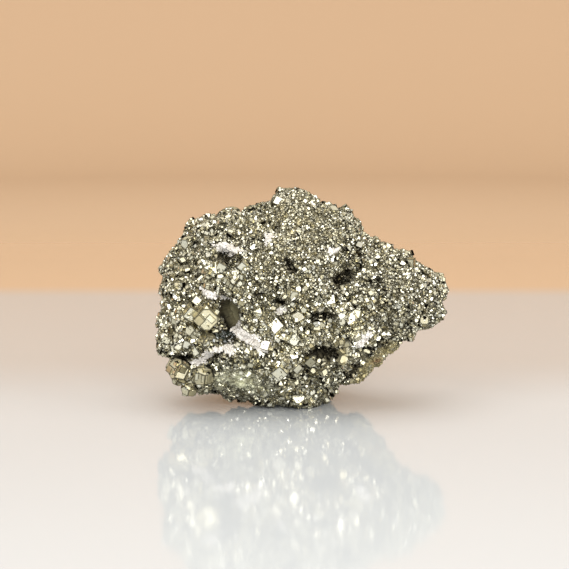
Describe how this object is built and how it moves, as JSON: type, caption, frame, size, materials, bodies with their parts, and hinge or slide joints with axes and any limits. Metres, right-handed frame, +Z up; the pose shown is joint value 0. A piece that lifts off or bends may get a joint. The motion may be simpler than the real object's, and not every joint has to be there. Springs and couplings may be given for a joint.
{
  "type": "raw pyrite cluster",
  "caption": "Natural lump of pyrite crystals grown together, pale brassy and glittering, standing on a small flat spot as a desk or shelf specimen.",
  "frame": {"origin": "on the small flat spot that the lump rests on, under the middle of its front outline", "axes": "+Z up; -Y out of the broad front face, towards the camera; +X to the right of that face, towards the pointed wing"},
  "size_m": [0.0655, 0.0413, 0.0487],
  "materials": {
    "pyrite": "bright crystal faces on a granular, slightly dull ground, pale brassy metal with grey-green and rusty tints",
    "white_gangue": "fine sugary white quartz in the hollows, a little translucent"
  },
  "bodies": {
    "root": {"pyrite_cluster": "pyrite"}
  },
  "joints": []
}
